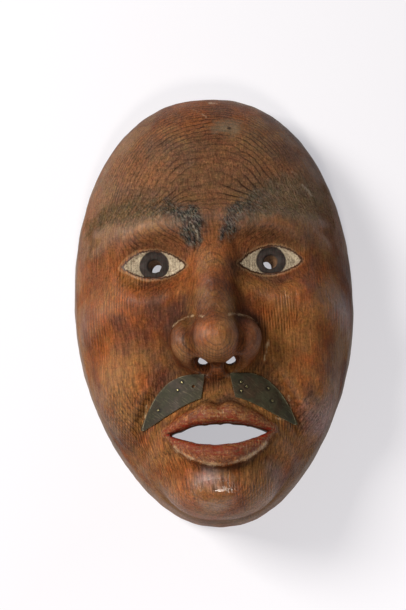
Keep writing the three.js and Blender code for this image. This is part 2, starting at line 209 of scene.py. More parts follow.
def slopeOf(form, points, reach=0.25):
    x, y, z = points.T
    steps = [form(x + reach, y, z) - form(x - reach, y, z),
             form(x, y + reach, z) - form(x, y - reach, z),
             form(x, y, z + reach) - form(x, y, z - reach)]
    return np.stack(steps, 1) / (2 * reach)


def unit(vectors):
    return vectors / np.maximum(np.linalg.norm(vectors, axis=1, keepdims=True), 1e-9)


# Smooth unevenness: a few waves in random directions, from -1 to 1 or so
def ripple(points, wavelength, seed, waves=7):
    draw = np.random.default_rng(seed)
    ways = unit(draw.normal(size=(waves, 3))) * (2 * math.pi / wavelength)
    ways *= draw.uniform(0.7, 1.5, size=(waves, 1))
    return np.sin(points @ ways.T + draw.uniform(0, 2 * math.pi, waves)).sum(1) / math.sqrt(waves) * 0.8


# Marks of a blade pushed along the grain: shallow troughs with ridges where they meet
def gougeMarks(across, along, width, length, seed):
    draw = np.random.default_rng(seed)
    shifts = draw.uniform(0, 1, 512)
    lane = across / width
    number = np.floor(lane).astype(int)
    stroke = along / length + shifts[number % 512]
    wide = np.abs(lane - number - 0.5) * 2
    long = np.abs(stroke - np.floor(stroke) - 0.5) * 2
    return np.maximum(wide, long) ** 2


# The form is measured only in blocks of cells near its surface, and the surface is then drawn through them.
def surfaceOf(form, low, high, step):
    block = 4
    counts = [int(math.ceil((h - l) / step / block)) for l, h in zip(low, high)]
    middles = [l + (np.arange(n) * block + (block - 1) / 2) * step for l, n in zip(low, counts)]
    coarse = form(*np.meshgrid(*middles, indexing="ij"))
    near = np.abs(coarse) < 4.5 * step + 4
    for axis in range(3):
        near = np.repeat(near, block, axis)
        coarse = np.repeat(coarse, block, axis)
    values = np.where(coarse > 0, 4.0, -4.0).astype(np.float32)
    places = np.argwhere(near)
    points = places * step + np.array(low)
    values[near] = np.clip(form(*points.T), -4, 4)
    grid = openvdb.FloatGrid(4.0)
    grid.copyFromArray(values)
    points, _, quads = grid.convertToPolygons(isovalue=0.0, adaptivity=0.0)
    points = points * step + np.array(low)
    for _ in range(2):
        slope = slopeOf(form, points)
        steepness = np.maximum((slope ** 2).sum(1), 0.2)
        points = points - np.clip(form(*points.T) / steepness, -0.8, 0.8)[:, None] * slope
    return points, quads[:, ::-1]


def newPiece(name, mesh):
    piece = bpy.data.objects.new(name, mesh)
    bpy.context.scene.collection.objects.link(piece)
    return piece


def makeActive(piece):
    bpy.ops.object.select_all(action="DESELECT")
    piece.select_set(True)
    bpy.context.view_layer.objects.active = piece


def pointsOf(mesh):
    places = np.empty(len(mesh.vertices) * 3)
    mesh.vertices.foreach_get("co", places)
    return places.reshape(-1, 3) / millimetre


def storeValue(mesh, name, values):
    layer = mesh.attributes.new(name, "FLOAT", "POINT")
    layer.data.foreach_set("value", np.asarray(values, dtype=np.float32))


# The brows are painted bands: how far a point is inside the band
def browBand(x, y):
    s = np.abs(x)
    arch = 5 * np.sin(np.clip((s - 8) / 62, 0, 1) * math.pi * 0.8)
    middle = face["brow"] + 6 + arch - 9 * np.exp(-((s - 4) / 9) ** 2)
    spread = 7 * np.clip((x - 12) / 35, 0, 1)           # the paint on the right is smeared up the forehead
    half = 7.5 + 3.5 * np.clip((s - 20) / 40, 0, 1) + spread - 6 * np.clip((s - 52) / 20, 0, 1)
    band = np.minimum(half - np.abs(y - middle - spread), np.minimum(s - 4.5, 74 - s))
    innerEnd = np.where(x < 0, 9.5, 7) - np.hypot((s - 11) / 0.75, (y - face["brow"]) / 1.5)
    return np.maximum(band, 1.5 * innerEnd)


# The lower edge of the lower lip, in plan
def lowerLipEdge():
    share = np.linspace(-0.84, 0.84, 15)
    across = 31 * share
    down = mouth["rise"] * (1 - (across / mouth["halfWidth"]) ** 2)
    down = down + 1.55 * mouth["lowerLip"] * (1 - share ** 2) ** 0.55
    return list(zip(across, face["mouth"] + mouth["smile"] * across ** 2 - down))


# Lines worn or scratched to pale wood, in plan, each with how far it reaches to its sides
def wearLines():
    thin, chipped = 0, 0.2
    brow, nose, lips, corner = face["brow"], face["noseBase"], face["mouth"], mouth["halfWidth"]
    turns = np.linspace(-0.6, 0.75, 6)
    wing = [(14.5 + 13.5 * math.sin(turn), nose + 12 + 14.5 * math.cos(turn)) for turn in turns]
    scratches = [
        wing,
        [(-x, y) for x, y in wing],
        [(-8, brow + 78), (0, brow + 71)],      # crown
        [(2, brow + 84), (7, brow + 83)],
        [(54, brow + 27), (60, brow + 20)],     # right temple
        [(49, brow + 34), (52, brow + 32)],
        [(corner + 12, lips + 22), (corner + 14, lips + 8)],        # corners of the mouth
        [(corner + 4, lips + 9), (corner + 13, lips + 7)],
        [(-corner - 13, lips + 20), (-corner - 14, lips + 6)],
        [(-12, brow + 1), (-9, brow - 4), (-7.5, brow - 10)],       # inner end of the left brow
    ]
    besideNose = [(27, nose + 2), (29.5, nose + 12)]
    return [(thin, line) for line in scratches] + [(chipped, line) for line in (besideNose, lowerLipEdge())]


def toLines(x, y, lines):
    nearest = np.full(len(x), 50.0)
    for reach, line in lines:
        for (ax, ay), (bx, by) in zip(line, line[1:]):
            wayX, wayY = bx - ax, by - ay
            share = np.clip(((x - ax) * wayX + (y - ay) * wayY) / (wayX ** 2 + wayY ** 2), 0, 1)
            away = np.hypot(x - ax - share * wayX, y - ay - share * wayY)
            nearest = np.minimum(nearest, away - reach)
    return nearest


# Relief outside: a slow unevenness, knife facets, a small ridge on the chin, a ragged edge under the lip
def knifeWork(points):
    x, y, z = points.T
    high = 0.16 * ripple(points, 16, 3) + 0.06 * ripple(points, 6, 4)
    leaning = x + 0.35 * y + 2 * ripple(points, 26, 12)
    facets = gougeMarks(leaning, y + 3 * ripple(points, 20, 13), 6.5, 17, 14)
    high = high + 0.24 * facets * (eyeOpening(x, y) > 2) * np.clip(z / 20 - 0.7, 0, 1)
    fromRidge = y - face["chin"] - 9 - 0.6 * ripple(points, 9, 15)
    high = high + 0.4 * np.exp(-((x + 4) / 8) ** 2 - (fromRidge / 2.4) ** 2) * (z > 50)
    fromEdge = toLines(x, y + 0.7 * ripple(points, 7, 16), wearLines()[-1:])
    rag = np.exp(-(np.maximum(fromEdge + 0.3, 0) / 0.9) ** 2) * (z > 60)
    return high + 0.45 * rag * (1 + ripple(points, 4, 11))


# Relief in the hollow: troughs of a gouge
def gougeWork(points):
    x, y, z = points.T
    around = np.arctan2(x, z + 25) * 75 + 2.5 * ripple(points, 30, 5)
    troughs = gougeMarks(around, y + 3 * ripple(points, 24, 6), 7.5, 19, 8)
    return 0.75 * troughs - 0.45 + 0.2 * ripple(points, 20, 10)


def carveMask():
    low = (-face["width"] / 2 - 4, -face["height"] / 2 - 4, -4)
    high = (face["width"] / 2 + 4, face["height"] / 2 + 4, maskHigh[2] + 6)
    points, quads = surfaceOf(maskForm, low, high, face["step"])
    normals = unit(slopeOf(maskForm, points))
    x, y, z = points.T
    inside = np.clip((-faceForm(x, y, z) - 2.5) / 2.5, 0, 1)
    nicks = -0.35 * np.clip(ripple(points, 9, 9) - 0.7, 0, 1) * np.clip(1 - z / 6, 0, 1)    # along the rim
    relief = (1 - inside) * knifeWork(points) + inside * gougeWork(points) + nicks
    relief *= 1 - np.clip(1 - z / 3, 0, 1) * (normals[:, 2] < -0.8)         # the back rim stays flat
    points = points + normals * relief[:, None]
    points[:, 2] = np.maximum(points[:, 2], 0)
    mesh = bpy.data.meshes.new("carvedMask")
    mesh.from_pydata((points * millimetre).tolist(), [], quads.tolist())
    piece = newPiece("carvedMask", mesh)
    makeActive(piece)
    thinner = piece.modifiers.new("fewerFaces", "DECIMATE")
    thinner.ratio = min(1, face["triangles"] / (2 * len(quads)))
    bpy.ops.object.modifier_apply(modifier="fewerFaces")
    piece.data.flip_normals()           # the faces come out of the grid pointing inwards
    bpy.ops.object.shade_smooth()
    return piece


heart = (4, 255)         # where the middle of the tree lay, across and out: before the face


# What the paint and the wear follow, kept with each point of the wood; gives back the names
def measureMask(piece):
    mesh = piece.data
    points = pointsOf(mesh)
    x, y, z = points.T
    normals = unit(slopeOf(maskForm, points))
    deep, reach = 3.0, 4.0
    steps = [faceForm(*(points + side * reach * way).T) for way in np.eye(3) for side in (-1, 1)]
    fromHeart = unit(points * (1, 0, 1) + (-heart[0], 0, -heart[1]))
    s = np.abs(x)
    values = {
        "acrossRings": 1 - np.abs((normals * fromHeart).sum(1)),
        "shelter": np.clip((deep - maskForm(*(points + deep * normals).T)) / deep, 0, 1),
        "bulge": np.clip(8 * (sum(steps) - 6 * faceForm(x, y, z)) / reach ** 2, -1, 1),
        "depth": -faceForm(x, y, z),
        "eyeEdge": eyeOpening(x, y) + np.where(z < 40, 50, 0),
        "pupilReach": np.hypot(s - eye["x"], y - eye["y"] - eye["pupilLift"]),
        "lipEdge": np.minimum(lip(s, y, z, 1), lip(s, y, z, -1)),
        "fromMouth": mouthOpening(x, y),
        "browInside": browBand(x, y) - np.where(z < 20, 30, 0),
        "wearLine": toLines(x, y, wearLines()) + np.where(z < 20, 30, 0),
    }
    for name, value in values.items():
        storeValue(mesh, name, value)
    print("mask measured:", len(mesh.vertices), "points,", len(mesh.polygons), "faces")
    return list(values)


mask = carveMask()
print("mask carved")
measured = measureMask(mask)

# Moustache plates: sheet metal cut to a fin and pressed onto the lip
plate = {"thickness": 0.8, "under": 0.25, "columns": 64, "rows": 22, "bevel": 0.18}
pin = {"radius": 0.85, "height": 0.55, "shank": 0.5, "depth": 5}
pinPlaces = {
    "left": [(0.3, 0.8), (0.37, 0.6), (0.7, 0.42)],
    "right": [(0.13, 0.66), (0.21, 0.5), (0.12, 0.3), (0.52, 0.74), (0.6, 0.42)],
}
openHole = {"hand": "left", "place": (0.14, 0.55), "radius": 0.85}
topEdge = [(7, face["noseBase"] - 6), (22, face["noseBase"] - 2.5), (36, face["noseBase"] - 10),
           (44, face["mouth"] + 6)]
lowEdge = [(9.5, face["mouth"] + 20.5), (20, face["mouth"] + 17.8), (31, face["mouth"] + 10),
           (42.7, face["mouth"] + 5.3)]


def alongCurve(corners, share):
    a, b, c, d = (np.array(corner) for corner in corners)
    t = np.asarray(share)[..., None]
    return a * (1 - t) ** 3 + 3 * b * t * (1 - t) ** 2 + 3 * c * t * t * (1 - t) + d * t ** 3


def plateSpots(hand, out, up):
    up = np.asarray(up)[..., None]
    spots = alongCurve(lowEdge, out) * (1 - up) + alongCurve(topEdge, out) * up
    return spots * np.array([-1 if hand == "left" else 1, 1])


# The wood's surface straight below points of a plan, and the way out of it
def onWood(spots):
    x, y = spots[:, 0], spots[:, 1]
    inside, outside = np.full(len(x), 40.0), np.full(len(x), 110.0)
    for _ in range(24):
        middle = (inside + outside) / 2
        isOut = faceForm(x, y, middle) > 0
        outside = np.where(isOut, middle, outside)
        inside = np.where(isOut, inside, middle)
    points = np.stack([x, y, inside], 1)
    return points, unit(slopeOf(faceForm, points, 1.0))


def makePlate(hand):
    bpy.ops.object.select_all(action="DESELECT")
    bpy.ops.mesh.primitive_grid_add(x_subdivisions=plate["columns"], y_subdivisions=plate["rows"], size=2)
    piece = bpy.context.object
    piece.name = piece.data.name = "moustachePlate" + hand.capitalize()
    flat = np.empty(len(piece.data.vertices) * 3)
    piece.data.vertices.foreach_get("co", flat)
    out, up = (flat.reshape(-1, 3)[:, :2].T + 1) / 2
    if hand == "left":
        out = 1 - out
    spots = plateSpots(hand, out, up)
    points, normals = onWood(spots)
    lift = plate["under"] + 0.1 + 0.1 * ripple(points, 8, 21)         # hammered, not quite flat on the lip
    for place in pinPlaces[hand]:
        reach = np.linalg.norm(spots - plateSpots(hand, *place), axis=1)
        lift = lift - 0.14 * np.exp(-(reach / 1.6) ** 2)
    if hand == openHole["hand"]:
        reach = np.linalg.norm(spots - plateSpots(hand, *openHole["place"]), axis=1)
        lift = lift + 0.3 * np.exp(-((reach - 1.3) / 0.6) ** 2)       # burr round the empty nail hole
    lift = lift + 0.5 * np.clip((out - 0.9) / 0.1, 0, 1) ** 2         # the point stands off a little
    points = (points + normals * lift[:, None]) * millimetre
    piece.data.vertices.foreach_set("co", points.ravel())
    piece.data.update()
    makeActive(piece)
    wall = piece.modifiers.new("thickness", "SOLIDIFY")
    wall.thickness = plate["thickness"] * millimetre
    wall.offset = 1
    bpy.ops.object.modifier_apply(modifier="thickness")
    if hand == openHole["hand"]:
        cutHole(piece, hand)
    edge = piece.modifiers.new("filedEdge", "BEVEL")
    edge.width = plate["bevel"] * millimetre
    edge.segments = 2
    edge.limit_method = "ANGLE"
    edge.angle_limit = math.radians(50)
    bpy.ops.object.modifier_apply(modifier="filedEdge")
    bpy.ops.object.shade_smooth_by_angle(angle=math.radians(40))
    measurePlate(piece, hand)
    return piece


def standing(points, normals):
    turns = [Vector((0, 0, 1)).rotation_difference(Vector(n)).to_matrix().to_4x4() for n in normals]
    return [Matrix.Translation(Vector(p) * millimetre) @ turn for p, turn in zip(points, turns)]


def cutHole(piece, hand):
    points, normals = onWood(plateSpots(hand, *openHole["place"])[None, :])
    bpy.ops.mesh.primitive_cylinder_add(vertices=20, radius=openHole["radius"] * millimetre,
                                        depth=8 * millimetre)
    cutter = bpy.context.object
    cutter.data.transform(standing(points, normals)[0])
    makeActive(piece)
    hole = piece.modifiers.new("nailHole", "BOOLEAN")
    hole.object = cutter
    hole.operation = "DIFFERENCE"
    hole.solver = "EXACT"
    bpy.ops.object.modifier_apply(modifier="nailHole")
    bpy.data.objects.remove(cutter)


def measurePlate(piece, hand):
    plan = pointsOf(piece.data)[:, :2]
    along, up = np.linspace(0, 1, 60), np.linspace(0, 1, 12)
    sides = [plateSpots(hand, along, 0 * along), plateSpots(hand, along, 0 * along + 1),
             plateSpots(hand, 0 * up, up), plateSpots(hand, 0 * up + 1, up)]
    pinSpots = [plateSpots(hand, *place) for place in pinPlaces[hand]]
    for name, spots in {"border": np.concatenate(sides), "pinReach": np.array(pinSpots)}.items():
        storeValue(piece.data, name, np.min(np.linalg.norm(plan[:, None] - spots[None], axis=2), axis=1))


plates = {hand: makePlate(hand) for hand in ("left", "right")}
print("plates pressed")


# A pin: a round shank with a low domed head
def makePinShape():
    bpy.ops.object.select_all(action="DESELECT")
    bpy.ops.mesh.primitive_uv_sphere_add(segments=20, ring_count=12, radius=pin["radius"] * millimetre)
    head = bpy.context.object
    bpy.ops.object.mode_set(mode="EDIT")
    bpy.ops.mesh.select_all(action="SELECT")
    bpy.ops.mesh.bisect(plane_co=(0, 0, 0.0001), plane_no=(0, 0, 1), clear_inner=True, use_fill=True)
    bpy.ops.mesh.select_all(action="SELECT")
    bpy.ops.transform.resize(value=(1, 1, pin["height"] / pin["radius"]))
    bpy.ops.object.mode_set(mode="OBJECT")
    depth = pin["depth"] * millimetre
    bpy.ops.mesh.primitive_cone_add(vertices=12, radius1=pin["shank"] * 0.4 * millimetre,
                                    radius2=pin["shank"] * millimetre, depth=depth,
                                    location=(0, 0, -depth / 2 + 0.0001))
    head.select_set(True)
    bpy.context.view_layer.objects.active = head
    bpy.ops.object.join()
    bpy.ops.object.shade_smooth_by_angle(angle=math.radians(50))
    return head


pinShape = makePinShape()
storeValue(pinShape.data, "rise", np.clip(pointsOf(pinShape.data)[:, 2] / pin["height"], 0, 1))
pins = {}
for hand, places in pinPlaces.items():
    spots = np.array([plateSpots(hand, *place) for place in places])
    points, normals = onWood(spots)
    points = points + normals * (plate["under"] + plate["thickness"] - 0.08)
    draw = np.random.default_rng(31)
    for number, stand in enumerate(standing(points, normals), 1):
        name = f"{hand}_{number}"
        shape = pinShape.data.copy()
        width = draw.uniform(0.85, 1.12)
        turn = Matrix.Rotation(draw.uniform(0, 6), 4, "Z")
        shape.transform(stand @ turn @ Matrix.Diagonal((width, 1, draw.uniform(0.8, 1), 1)))
        pins[name] = newPiece("platePin" + hand.capitalize() + str(number), shape)
bpy.data.objects.remove(pinShape)
print("pins set")


# Gives a node what goes into it: links from other nodes, and plain values
def plug(tree, node, inputs):
    for socket, value in inputs.items():
        if isinstance(value, bpy.types.NodeSocket):
            tree.links.new(value, node.inputs[socket])
        else:
            node.inputs[socket].default_value = value


# One node of a material, with its settings and what goes into it; gives back the chosen output
def addNode(tree, kind, inputs, output=0, **settings):
    node = tree.nodes.new("ShaderNode" + kind)
    for name, value in settings.items():
        setattr(node, name, value)
    plug(tree, node, inputs)
    return node.outputs[output]


def newMaterial(name):
    material = bpy.data.materials.new(name)
    material.use_nodes = True
    return material, partial(addNode, material.node_tree)


def finishMaterial(material, looks):
    plug(material.node_tree, material.node_tree.nodes["Principled BSDF"], looks)
    return material


def fromHex(code):
    shares = [int(code[i:i + 2], 16) / 255 for i in (1, 3, 5)]
    linear = [share / 12.92 if share <= 0.04045 else ((share + 0.055) / 1.055) ** 2.4 for share in shares]
    return (*linear, 1)


# Where a point lies on its piece, in millimetres
def placeOnPiece(add):
    return add("VectorMath", {0: add("TexCoord", {}, "Object"), "Scale": 1000.0}, operation="SCALE")


# Lays tones over a colour. Each begins where its value is at the start, and has its share where that is full.
def layOver(add, colour, layers, **settings):
    for value, start, full, share, tone in layers:
        layer = add("MapRange", {"Value": value, "From Min": start, "From Max": full, "To Max": share},
                    **settings)
        colour = add("Mix", {0: layer, 6: colour, 7: fromHex(tone)}, 2, data_type="RGBA")
    return colour


# Darkens and brightens a colour by patterns, each with its share
def shadeOver(add, colour, shades):
    for share, pattern, low, high, dark, bright in shades:
        shade = add("MapRange", {"Value": pattern, "From Min": low, "From Max": high, "To Min": dark,
                                 "To Max": bright})
        colour = add("Mix", {0: share, 6: colour, 7: shade}, 2, data_type="RGBA", blend_type="MULTIPLY")
    return colour


# Softwood, knife-carved, stained with red earth, rubbed and handled for a long time. The stain sits deep
# between the growth rings and has worn to a low shine on what stands out. The paint is thin and patchy.
wood = {
    "light": "#874a22", "deep": "#4c2916", "purple": "#3d2b2b", "ochre": "#845d33", "lateWood": "#23130c",
    "dull": "#6b5641", "grimeAndShade": "#1f130b", "side": "#7d6e60", "worn": "#b58354", "inside": "#5b4330",
    "ring": 1.9,            # mm from one growth ring to the next
    "comb": 1.6,            # mm from one raised fibre to the next: finer in real wood, which wouldn't show
    "knot": (13, 100),      # a mended knot, across and up
    "chinSpot": (-4.0, face["chin"] + 9.5, 74.0),       # handled to a shine
    "rough": (0.62, 0.3),   # where it is flat, and where it stands out and has been rubbed
    "shine": (0.05, 0.3),
    # the dark tone marks smudges; the grey-violet tones are painted sheen on the chin, jaw and right edge
    "smudgesAndSheen": [            # where across and up, how wide, tone, how strong
        ((13, 13), 8, "#2b2527", 0.6), ((53, -60), 5, "#2b2527", 0.65), ((-69, 12), 9, "#2b2527", 0.4),
        ((-34, -6), 9, "#2b2527", 0.45), ((50, 34), 12, "#2b2527", 0.2), ((-9, -108), 9, "#8a7a7c", 0.4),
        ((30, -104), 8, "#8a7a7c", 0.35), ((76, -10), 12, "#6d6264", 0.5), ((60, -74), 13, "#8a7a7c", 0.5),
    ],
}
paint = {
    "brow": "#1b2224", "browFaded": "#473d2d", "browRubbed": "#938c80", "browChalky": "#807260",
    "eyeWhite": "#b2a48d", "eyeSpeck": "#54402f", "iris": "#35322f", "eyeRimShade": "#22140f",
    "lips": "#7f2616", "dust": "#b3966f", "filler": "#716754",
}


def woodMaterial():
    material, add = newMaterial("redStainedCarvedWood")
    place = placeOnPiece(add)
    across, up, out = add("SeparateXYZ", {0: place}).node.outputs
    read = {name: add("Attribute", {}, "Fac", attribute_name=name) for name in measured}

    # growth rings round a heart that lies before the face; a wave texture of scale 1 repeats every pi / 10
    drift = add("TexNoise", {"Vector": place, "Scale": 1 / 55, "Detail": 1.0}, "Color")
    fromHeart = add("VectorMath", {0: place, 1: (-heart[0] - 2.0, 0.0, -heart[1] - 2.0)}, operation="ADD")
    bent = add("VectorMath", {0: drift, 1: (4.0, 0.0, 4.0), 2: fromHeart}, operation="MULTIPLY_ADD")
    saw = add("TexWave", {"Vector": bent, "Scale": math.pi / 10 / wood["ring"], "Distortion": 0.3,
                          "Detail": 2.0, "Detail Scale": 0.5}, "Fac",
              wave_type="RINGS", rings_direction="Y", wave_profile="SAW")
    lateWood = add("MapRange", {"Value": saw, "From Min": 0.6, "From Max": 0.94},
                   interpolation_type="SMOOTHSTEP")

    # fibres, broad streaks and nicks along the block, strokes across it, and clouds and specks anywhere
    stretches = [(bent, (0.95, 0.05, 0.95), 4.0, 0.7), (bent, (0.3, 0.02, 0.3), 3.0, 0.6),
                 (bent, (1.2, 0.4, 1.2), 2.0, 0.5), (place, (0.1, 0.75, 0.75), 4.0, 0.7)]
    fibre, streak, nick, stroke = [
        add("TexNoise", {"Vector": add("VectorMath", {0: source, 1: stretch}, operation="MULTIPLY"),
                         "Scale": 1.0, "Detail": detail, "Roughness": roughness}, "Fac")
        for source, stretch, detail, roughness in stretches]
    smear, speck, patch = [
        add("TexNoise", {"Vector": place, "Scale": scale, "Detail": detail, "Roughness": roughness}, "Fac")
        for scale, detail, roughness in ((1 / 9, 4.0, 0.6), (0.8, 5.0, 0.8), (1 / 42, 3.0, 0.5))]
    longer = add("VectorMath", {0: bent, 1: (1.0, 0.12, 1.0)}, operation="MULTIPLY")
    comb = add("TexWave", {"Vector": longer, "Scale": math.pi / 10 / wood["comb"], "Distortion": 3.0,
                           "Detail": 2.0, "Detail Scale": 0.4}, "Fac", wave_type="BANDS", bands_direction="X")
    mottle = add("TexNoise", {"Vector": place, "Scale": 1 / 26, "Detail": 3.0, "Roughness": 0.55}, "Color")
    mottleA, mottleB, mottleC = add("SeparateColor", {0: mottle}).node.outputs

    # stain: four tones in patches; painted shade to the forehead, nose and right, painted light to the chin
    onForehead = add("MapRange", {"Value": up, "From Min": -5.0, "From Max": 60.0},
                     interpolation_type="SMOOTHSTEP")
    onNose = add("MapRange", {"Value": out, "From Min": 76.0, "From Max": 92.0, "To Max": 0.7})
    toRight = add("MapRange", {"Value": across, "From Min": 0.0, "From Max": 65.0, "To Max": 0.16})
    paintedLightToChin = add("MapRange", {"Value": up, "From Min": 10.0, "From Max": -70.0, "To Max": 0.1})
    deeperStainAndShade, dullerStainAndShade = patch, mottleA
    for value, amount in ((onForehead, 0.08), (toRight, 0.45), (read["bulge"], -0.1), (onNose, 0.3)):
        deeperStainAndShade = add("Math", {0: value, 1: amount, 2: deeperStainAndShade}, operation="MULTIPLY_ADD")
    for value, amount in ((toRight, 0.1), (read["bulge"], -0.07)):
        dullerStainAndShade = add("Math", {0: value, 1: amount, 2: dullerStainAndShade}, operation="MULTIPLY_ADD")
    palerStainAndLight = add("Math", {0: mottleB, 1: paintedLightToChin}, operation="ADD")
    colour = layOver(add, fromHex(wood["light"]), [
        (deeperStainAndShade, 0.4, 0.7, 0.78, wood["deep"]), (palerStainAndLight, 0.46, 0.68, 0.65, wood["ochre"]),
        (dullerStainAndShade, 0.48, 0.7, 0.55, wood["purple"])], interpolation_type="SMOOTHSTEP")

    # dark smudges, patches of painted sheen in grey-violet, and a duller forehead
    flat = add("VectorMath", {0: place, 1: (1.0, 1.0, 0.0)}, operation="MULTIPLY")
    for spot, reach, tone, share in wood["smudgesAndSheen"]:
        away = add("VectorMath", {0: flat, 1: (*spot, 0.0)}, "Value", operation="DISTANCE")
        away = add("Math", {0: smear, 1: 2.0 * reach, 2: away}, operation="MULTIPLY_ADD")
        colour = layOver(add, colour, [(away, 2.2 * reach, 1.2 * reach, share, tone)])
    dullness = add("MapRange", {"Value": up, "From Min": 75.0, "From Max": 108.0, "To Min": 0.5,
                                "To Max": 0.15})
    dullness = add("Math", {0: onForehead, 1: dullness}, operation="MULTIPLY")
    colour = add("Mix", {0: dullness, 6: colour, 7: fromHex(wood["dull"])}, 2, data_type="RGBA")

    # the rings show on the forehead, the nose and round the mouth, where the surface cuts across them
    fromMiddle = add("Math", {0: across}, operation="ABSOLUTE")
    fading = add("MapRange", {"Value": fromMiddle, "From Min": 26.0, "From Max": 62.0, "To Min": 1.0,
                              "To Max": 0.2})
    byMouth = add("MapRange", {"Value": read["fromMouth"], "From Min": 36.0, "From Max": 10.0,
                               "To Max": 0.6})
    ringShow = add("Math", {0: onForehead, 1: fading}, operation="MULTIPLY")
    for share in (onNose, byMouth):
        ringShow = add("Math", {0: ringShow, 1: share}, operation="MAXIMUM")
    ringShow = add("MapRange", {"Value": ringShow, "To Min": 0.3, "To Max": 0.9})
    uneven = add("MapRange", {"Value": mottleC, "From Min": 0.4, "From Max": 0.62, "To Min": 0.3})
    crossing = add("MapRange", {"Value": read["acrossRings"], "From Min": 0.005, "From Max": 0.06,
                                "To Min": 0.3})
    ringShade = lateWood
    for share in (ringShow, uneven, crossing):
        ringShade = add("Math", {0: ringShade, 1: share}, operation="MULTIPLY")
    colour = add("Mix", {0: ringShade, 6: colour, 7: fromHex(wood["lateWood"])}, 2, data_type="RGBA")

    # brows: thin dark paint, faded and ragged further out, chalky on the right, rubbed in slanting strokes
    ragged = add("Math", {0: smear, 1: 22.0, 2: read["browInside"]}, operation="MULTIPLY_ADD")
    isBrow = add("MapRange", {"Value": ragged, "From Min": 8.0, "From Max": 17.0},
                 interpolation_type="SMOOTHSTEP")
    thin = add("MapRange", {"Value": fibre, "From Min": 0.32, "From Max": 0.68, "To Min": 1.0,
                            "To Max": 0.45})
    outward = add("MapRange", {"Value": fromMiddle, "From Min": 14.0, "From Max": 42.0})
    browShare = add("MapRange", {"Value": outward, "To Min": 1.15, "To Max": 0.85})
    browShare = add("Math", {0: toRight, 1: -1.4, 2: browShare}, operation="MULTIPLY_ADD")
    isBrow = add("Math", {0: isBrow, 1: thin}, operation="MULTIPLY")
    isBrow = add("Math", {0: isBrow, 1: browShare}, operation="MULTIPLY", use_clamp=True)
    chalky = add("Math", {0: toRight, 1: outward}, operation="MULTIPLY")
    chalky = add("Math", {0: chalky, 1: 4.5}, operation="MULTIPLY", use_clamp=True)
    browTone = fromHex(paint["brow"])
    for share, tone in ((outward, "browFaded"), (chalky, "browChalky")):
        browTone = add("Mix", {0: share, 6: browTone, 7: fromHex(paint[tone])}, 2, data_type="RGBA")
    leaning = add("VectorRotate", {"Vector": place, "Angle": 1.0}, rotation_type="Z_AXIS")
    leaning = add("VectorMath", {0: leaning, 1: (0.3, 1.3, 0.5)}, operation="MULTIPLY")
    hatch = add("TexNoise", {"Vector": leaning, "Scale": 1.0, "Detail": 3.0, "Roughness": 0.7}, "Fac")
    hatchShare = add("MapRange", {"Value": outward, "To Min": 0.42, "To Max": 0.15})
    isHatch = add("MapRange", {"Value": hatch, "From Min": 0.54, "From Max": 0.4, "To Max": hatchShare})
    isHatch = add("Math", {0: isHatch, 1: isBrow}, operation="MULTIPLY")
    for share, tone in ((isBrow, browTone), (isHatch, fromHex(paint["browRubbed"]))):
        colour = add("Mix", {0: share, 6: colour, 7: tone}, 2, data_type="RGBA")

    # fibres, streaks, raised fibres and strokes shade the wood, the raised ones in patches
    fibreShare = add("MapRange", {"Value": up, "From Min": -25.0, "From Max": -85.0, "To Min": 0.6,
                                  "To Max": 1.2})
    fibreShare = add("Math", {0: toRight, 1: -1.5, 2: fibreShare}, operation="MULTIPLY_ADD")
    fibreShade = add("MapRange", {"Value": fibre, "From Min": 0.32, "From Max": 0.68, "To Min": 0.35,
                                  "To Max": 1.6})
    colour = add("Mix", {0: fibreShare, 6: colour, 7: fibreShade}, 2, data_type="RGBA",
                 blend_type="MULTIPLY")
    combShare = add("MapRange", {"Value": mottleC, "From Min": 0.5, "From Max": 0.62, "To Max": 0.9})
    combShare = add("Math", {0: onForehead, 1: -0.8, 2: combShare}, operation="MULTIPLY_ADD",
                    use_clamp=True)
    strokeShare = add("Math", {0: onForehead, 1: 0.6}, operation="MULTIPLY")
    colour = shadeOver(add, colour, [
        (fibreShare, streak, 0.3, 0.7, 0.85, 1.14), (combShare, comb, 0.0, 1.0, 0.74, 1.18),
        (strokeShare, stroke, 0.32, 0.68, 0.55, 1.45)])
    fleck = add("TexNoise", {"Vector": place, "Scale": 1 / 4, "Detail": 5.0, "Roughness": 0.75}, "Color")
    colour = add("Mix", {0: 0.3, 6: colour, 7: fleck}, 2, data_type="RGBA", blend_type="OVERLAY")
    colour = shadeOver(add, colour, [(1.0, speck, 0.35, 0.65, 0.66, 1.34)])

    # dark nicks, pale scuffs, wear on what stands out, painted shade and grime in the recesses,
    # grey unstained side walls that are partly a painted sheen, and a worn rim
    standsOut = add("Math", {0: read["bulge"], 1: mottleB}, operation="MULTIPLY")
    edgeOfFace = add("Math", {0: mottleA, 1: 8.0, 2: out}, operation="MULTIPLY_ADD")
    rimWear = add("Math", {0: smear, 1: 30.0, 2: out}, operation="MULTIPLY_ADD")
    # the side walls: unstained wood turned grey, partly a painted sheen of the pale room
    greySideAndSheenShare = add("MapRange", {"Value": up, "From Min": -90.0, "From Max": -115.0, "To Min": 0.7,
                                 "To Max": 0.3})
    colour = layOver(add, colour, [
        (nick, 0.6, 0.7, 0.5, wood["grimeAndShade"]), (nick, 0.34, 0.27, 0.25, wood["worn"]),
        (standsOut, 0.25, 0.6, 0.12, wood["worn"]), (read["shelter"], 0.08, 0.6, 0.85, wood["grimeAndShade"]),
        (edgeOfFace, 28.0, 23.0, greySideAndSheenShare, wood["side"]), (rimWear, 19.0, 14.0, 0.5, wood["worn"])])

